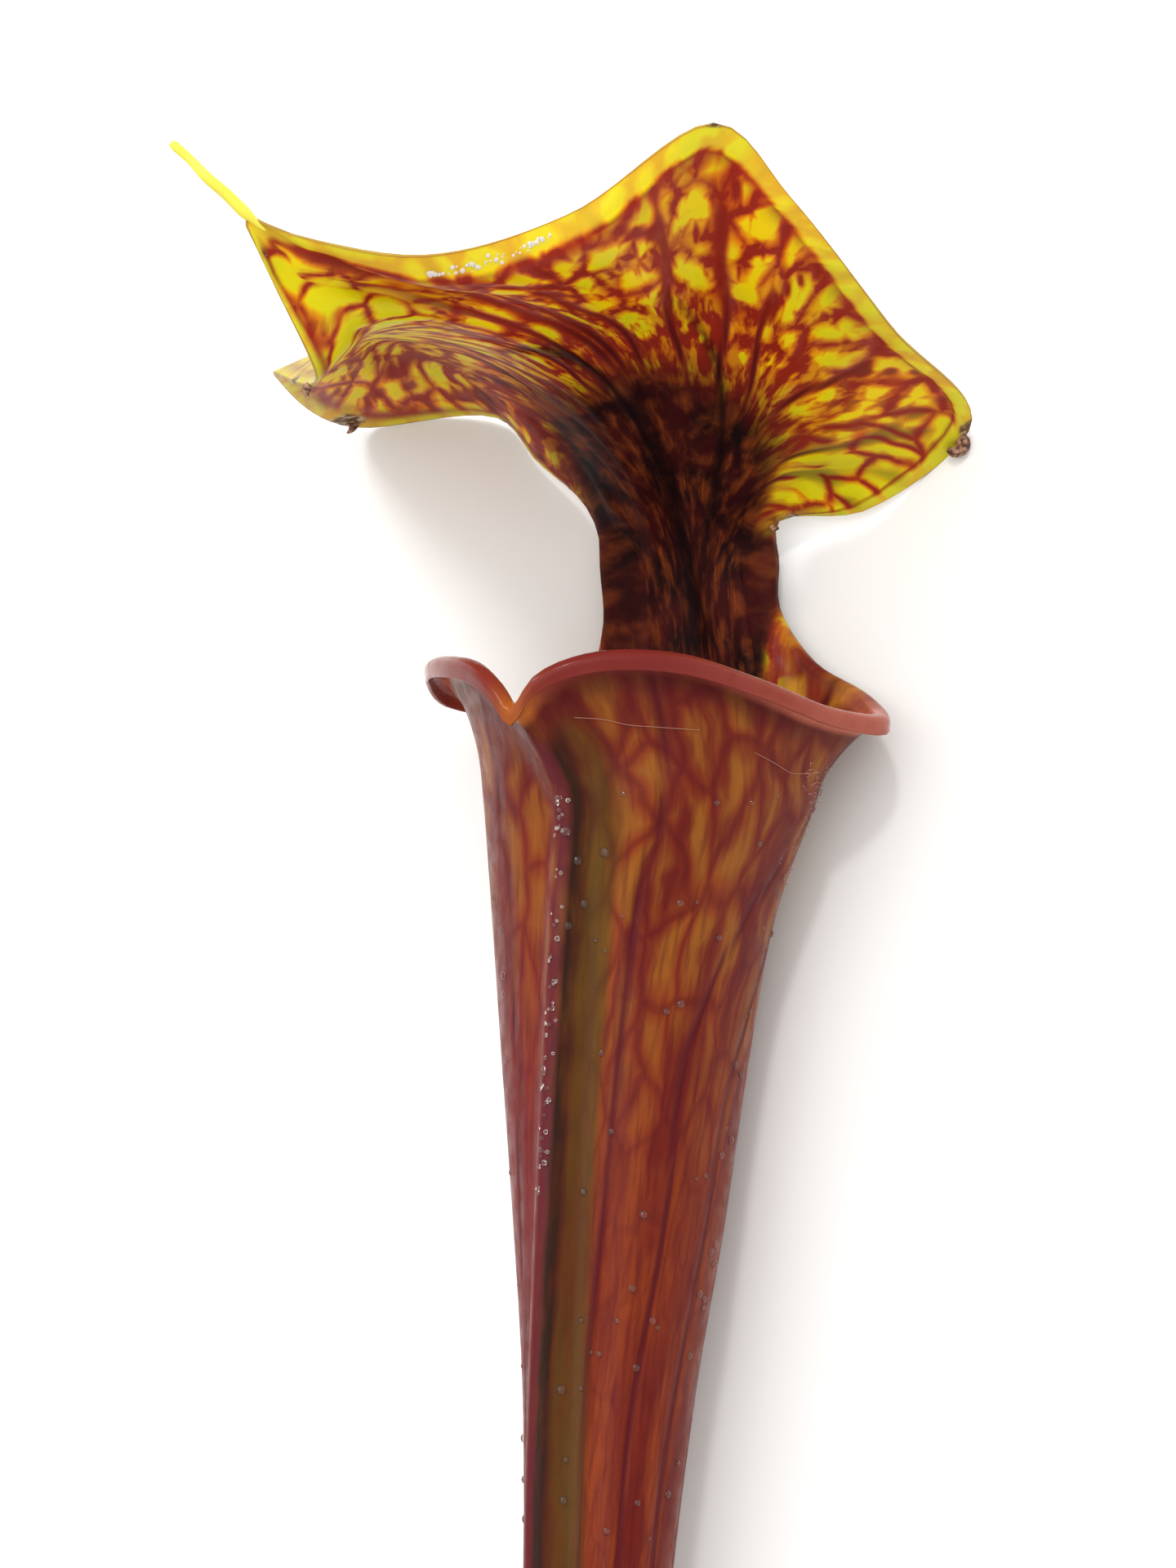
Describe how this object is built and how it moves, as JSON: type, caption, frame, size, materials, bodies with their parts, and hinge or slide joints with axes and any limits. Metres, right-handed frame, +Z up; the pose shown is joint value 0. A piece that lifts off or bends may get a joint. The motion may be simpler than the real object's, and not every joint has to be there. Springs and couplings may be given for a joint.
{
  "type": "pitcher plant leaf",
  "caption": "Picked leaf of a carnivorous plant: a keeled hollow tube with a rolled lip, a narrow column and a broad waved lid with a thin tip",
  "frame": {"origin": "bottom centre of the box round the leaf, on the surface it lies on", "axes": "+Y runs up the leaf from the cut stalk to the lid, +X is the leaf's left side, +Z is up from the surface, on the side of the keel and the lid's tip"},
  "size_m": [0.1034, 0.345, 0.1212],
  "materials": {
    "leaf": "satin"
  },
  "bodies": {
    "root": {"pitcher": "leaf"}
  },
  "joints": []
}
